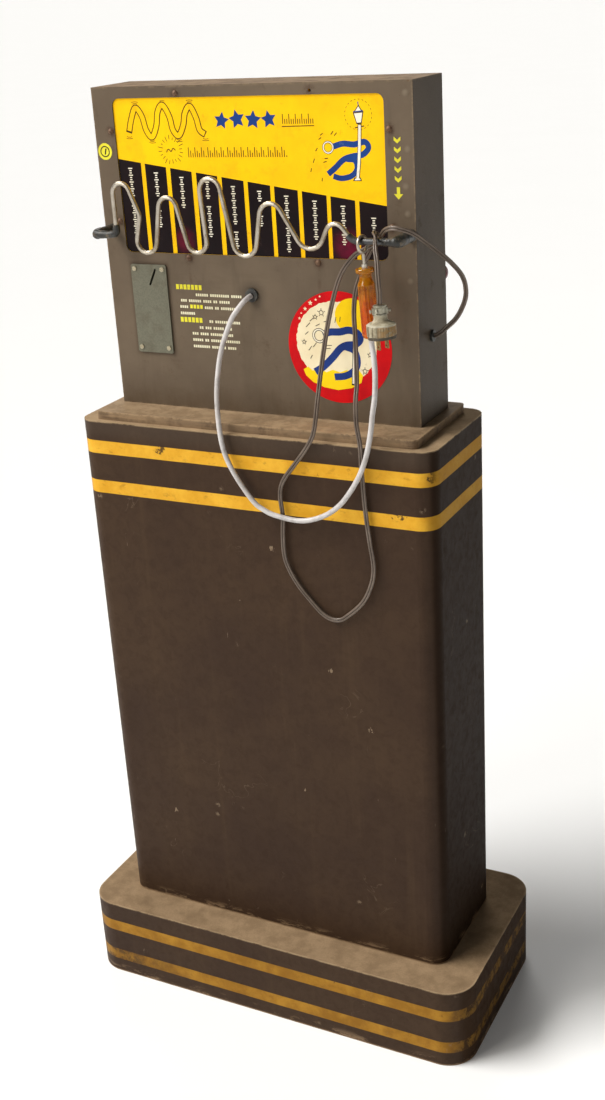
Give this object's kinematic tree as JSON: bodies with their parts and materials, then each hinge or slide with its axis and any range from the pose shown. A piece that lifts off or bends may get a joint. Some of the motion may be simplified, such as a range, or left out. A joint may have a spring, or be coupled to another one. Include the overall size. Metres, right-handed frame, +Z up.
{
  "type": "coin-operated steady-hand tester",
  "caption": "Steady-hand game: ring wand on a wavy rod, metal head with coin slot on a narrow wooden pedestal and plinth.",
  "frame": {"origin": "centre of the plinth's outline, on the floor", "axes": "+Z up, -Y is the front that the player faces, +X is the player's right, where the wand starts"},
  "size_m": [0.64, 0.31, 1.354],
  "materials": {
    "dark_plywood": "dark brown painted plywood, chipped and scratched, yellow stripes",
    "bare_plywood": "bare plywood",
    "step_board_wood": "dark brown painted board",
    "head_paint": "taupe baked enamel, worn",
    "art_print": "printed acrylic, yellow with dark bars",
    "decal_ink": "printed decals, cream and yellow",
    "emblem_print": "printed round decal, red ring and cream centre",
    "rusty_screws": "plated steel, partly rusted",
    "fastener_steel": "zinc plated",
    "hinge_steel": "plated steel, dull",
    "lock_zinc": "worn chrome",
    "lock_brass": "brass lock cylinder",
    "cash_box_paint": "grey painted tin",
    "coin_plate_zinc": "dull cast zinc, greenish grey",
    "chute_steel": "galvanised sheet",
    "switch_bakelite": "brown-black bakelite",
    "spring_steel": "spring steel",
    "black_rubber": "black rubber",
    "rod_steel": "bare steel, dull satin",
    "sleeve_plastic": "dark insulating sleeve",
    "knob_red": "dark red moulded knob",
    "socket_brass": "brass lamp socket",
    "bulb_glass": "clear lamp glass",
    "transformer_iron": "varnished iron core and wound coil",
    "gong_nickel": "nickel plated gong",
    "coil_copper": "enamelled copper coil on a steel plate",
    "ferrule_steel": "plated steel",
    "amber_handle": "translucent amber fluted plastic",
    "white_cable": "off-white cable",
    "brown_cord": "brown twin flex",
    "grey_plug": "aged grey moulded plug",
    "fibre_disc": "fibre insulating disc",
    "prong_brass": "brass prongs"
  },
  "bodies": {
    "cabinet": {"plinth_top_board": "dark_plywood", "plinth_long_rails": "dark_plywood", "plinth_end_rails": "dark_plywood", "plinth_corner_blocks": "dark_plywood", "pedestal_front_panel": "dark_plywood", "pedestal_side_panels": "dark_plywood", "pedestal_corner_posts": "dark_plywood", "pedestal_rear_frame": "dark_plywood", "pedestal_cap": "dark_plywood", "pedestal_shelf": "bare_plywood", "step_board": "step_board_wood", "head_bolts": "fastener_steel", "head_shell": "head_paint", "front_panel": "head_paint", "art_panel": "art_print", "art_screws": "rusty_screws", "panel_nuts": "fastener_steel", "front_decals": "decal_ink", "round_emblem": "emblem_print", "coin_plate": "coin_plate_zinc", "coin_plate_screws": "rusty_screws", "coin_chute": "chute_steel", "coin_switch": "switch_bakelite", "cable_grommet": "black_rubber", "power_grommet": "black_rubber", "game_rod": "rod_steel", "rod_insulators": "black_rubber", "start_sleeve": "sleeve_plastic", "hinge_fixed_leaves": "hinge_steel", "hinge_pins": "hinge_steel", "lamp_bracket": "chute_steel", "lamp_sockets": "socket_brass", "lamp_bulbs": "bulb_glass", "component_board": "bare_plywood", "board_spacers": "fastener_steel", "transformer": "transformer_iron", "terminal_strip": "switch_bakelite", "bell_gong": "gong_nickel", "bell_unit": "coil_copper", "probe_cable": "white_cable", "power_cord": "brown_cord", "plug_body": "grey_plug", "plug_clamp": "ferrule_steel", "plug_face": "fibre_disc", "plug_prongs": "prong_brass"},
    "wand": {"wand_ring": "rod_steel", "wand_ferrule": "ferrule_steel", "wand_handle": "amber_handle"},
    "head_door": {"head_rear_door": "head_paint", "head_door_leaves": "hinge_steel"},
    "head_lock": {"head_lock_knob": "knob_red", "head_lock_cam": "spring_steel"},
    "pedestal_door": {"pedestal_rear_door": "dark_plywood", "pedestal_door_leaves": "hinge_steel", "pedestal_lock_body": "lock_zinc"},
    "pedestal_lock": {"pedestal_lock_cam": "lock_brass"},
    "cash_box": {"cash_box": "cash_box_paint"},
    "coin_lever": {"coin_lever": "spring_steel"},
    "bell_striker": {"bell_striker": "spring_steel"}
  },
  "joints": [
    {"name": "wand_swing", "type": "hinge", "parent": "cabinet", "child": "wand", "pos_m": [0.176, -0.0825, 1.1715], "axis": [1, 0, 0], "range_deg": [-60, 0], "deforming": ["probe_cable"]},
    {"name": "head_door_hinge", "type": "hinge", "parent": "cabinet", "child": "head_door", "pos_m": [-0.2312, 0.0609, 1.14], "axis": [0, 0, 1], "range_deg": [0, 110]},
    {"name": "head_lock_turn", "type": "hinge", "parent": "head_door", "child": "head_lock", "pos_m": [0.2165, 0.058, 1.106], "axis": [0, -1, 0], "range_deg": [0, 90]},
    {"name": "pedestal_door_hinge", "type": "hinge", "parent": "cabinet", "child": "pedestal_door", "pos_m": [-0.2045, 0.1032, 0.515], "axis": [0, 0, 1], "range_deg": [0, 110]},
    {"name": "pedestal_lock_turn", "type": "hinge", "parent": "pedestal_door", "child": "pedestal_lock", "pos_m": [0.19, 0.095, 0.515], "axis": [0, -1, 0], "range_deg": [0, 90]},
    {"name": "cash_box_lift", "type": "slide", "parent": "cabinet", "child": "cash_box", "axis": [0, 0, 1], "range_m": [0, 0.06]},
    {"name": "coin_lever_tip", "type": "hinge", "parent": "cabinet", "child": "coin_lever", "pos_m": [-0.18, -0.023, 1.006], "axis": [0, 1, 0], "range_deg": [0, 12], "stiffness_Nm_per_rad": 0.003, "springref_deg": -17.19},
    {"name": "bell_striker_swing", "type": "hinge", "parent": "cabinet", "child": "bell_striker", "pos_m": [0.116, -0.014, 1.04], "axis": [0, 1, 0], "range_deg": [-8, 2], "stiffness_Nm_per_rad": 0.05, "springref_deg": -0.92}
  ]
}
